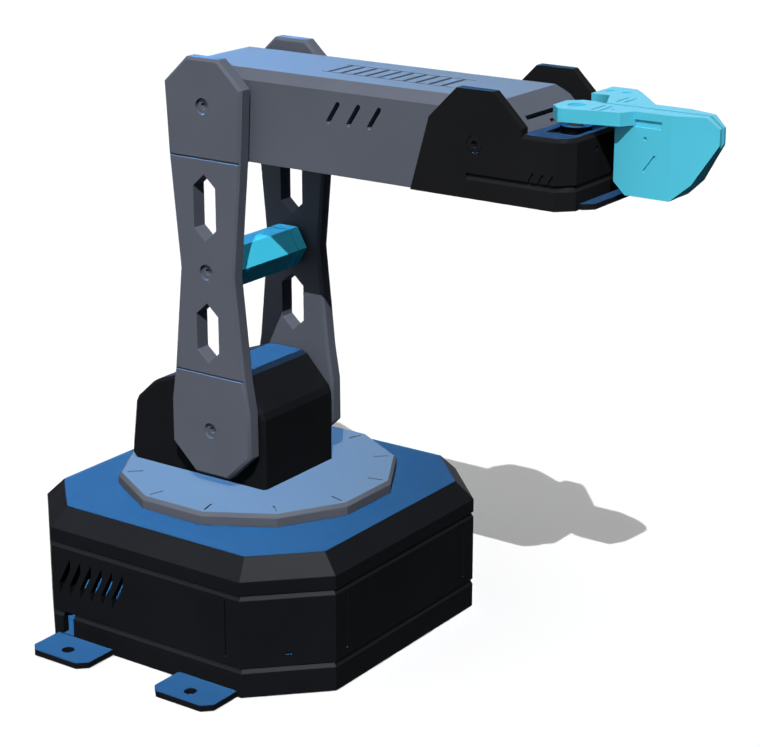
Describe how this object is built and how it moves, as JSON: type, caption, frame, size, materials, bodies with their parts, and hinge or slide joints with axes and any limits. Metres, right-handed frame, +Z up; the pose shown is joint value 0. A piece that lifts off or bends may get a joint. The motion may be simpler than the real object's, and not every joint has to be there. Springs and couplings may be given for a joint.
{
  "type": "robot arm",
  "caption": "Desktop servo robot arm: square base with cut corners, turntable, paired upright links, box forearm, pitching wrist and an opening jaw gripper.",
  "frame": {"origin": "on the table under the turntable's axis, at the middle of the base's underside", "axes": "+Z up, +X along the arm's reach at rest, -Y towards the vented side of the base"},
  "size_m": [0.2605, 0.1736, 0.222],
  "materials": {
    "black_shell": "moulded matte black",
    "grey_shell": "moulded slate grey",
    "cyan_shell": "satin cyan",
    "brass": "turned",
    "servo_case": "black anodised",
    "micro_servo": "moulded dark blue",
    "horn_metal": "machined",
    "board": "green solder mask",
    "board_parts": "moulded black",
    "cage": "natural nylon",
    "steel": "zinc plated"
  },
  "bodies": {
    "base": {"base_plate": "black_shell", "base_body": "black_shell", "base_lid": "black_shell", "base_screws": "steel", "yaw_servo_case": "servo_case", "yaw_servo_screws": "steel", "bearing_balls": "steel", "ball_cage": "cage", "controller_board": "board", "controller_chip": "board_parts", "servo_headers": "board_parts", "power_terminal": "board_parts", "capacitors": "steel", "board_standoffs": "brass", "board_screws": "steel"},
    "turntable": {"turntable_disc": "grey_shell", "yaw_shaft": "brass", "yaw_horn": "horn_metal", "yaw_horn_screws": "steel", "yaw_center_screw": "steel", "shoulder_housing": "black_shell", "housing_screws": "steel", "shoulder_servo_case": "servo_case", "shoulder_servo_screws": "steel", "shoulder_bushing": "brass"},
    "upper_arm": {"near_link": "grey_shell", "far_link": "grey_shell", "spacer_bar": "cyan_shell", "link_screws": "steel", "shoulder_shaft": "brass", "elbow_shaft": "brass", "shoulder_horn": "horn_metal", "elbow_horn": "horn_metal", "shoulder_idler": "horn_metal", "elbow_idler": "horn_metal", "arm_horn_screws": "steel"},
    "forearm": {"forearm_shell": "grey_shell", "forearm_floor": "grey_shell", "forearm_floor_screws": "steel", "elbow_servo_case": "servo_case", "elbow_servo_screws": "steel", "elbow_bushing": "brass", "wrist_servo_case": "servo_case", "wrist_servo_screws": "steel", "wrist_bushing": "brass"},
    "wrist": {"wrist_bracket": "black_shell", "wrist_floor": "black_shell", "wrist_floor_screws": "steel", "wrist_shaft": "brass", "wrist_horn": "horn_metal", "wrist_idler": "horn_metal", "wrist_horn_screws": "steel", "wrist_screws": "steel", "gripper_servo_case": "micro_servo", "gripper_servo_screws": "steel", "fixed_jaw": "cyan_shell", "fixed_jaw_pins": "steel"},
    "jaw": {"moving_jaw": "cyan_shell", "gripper_shaft": "brass", "gripper_center_screw": "steel"}
  },
  "joints": [
    {"name": "base_yaw", "type": "hinge", "parent": "base", "child": "turntable", "pos_m": [0, 0, 0.0539], "axis": [0, 0, 1], "range_deg": [-90, 90]},
    {"name": "shoulder_pitch", "type": "hinge", "parent": "turntable", "child": "upper_arm", "pos_m": [0, 0, 0.0808], "axis": [0, 1, 0], "range_deg": [-45, 45]},
    {"name": "elbow_pitch", "type": "hinge", "parent": "upper_arm", "child": "forearm", "pos_m": [0, 0, 0.2038], "axis": [0, -1, 0], "range_deg": [-50, 60]},
    {"name": "wrist_pitch", "type": "hinge", "parent": "forearm", "child": "wrist", "pos_m": [0.1142, 0, 0.2038], "axis": [0, -1, 0], "range_deg": [-75, 75]},
    {"name": "gripper_open", "type": "hinge", "parent": "wrist", "child": "jaw", "pos_m": [0.1414, -0.00784, 0.2038], "axis": [0, 0, -1], "range_deg": [0, 40]}
  ]
}
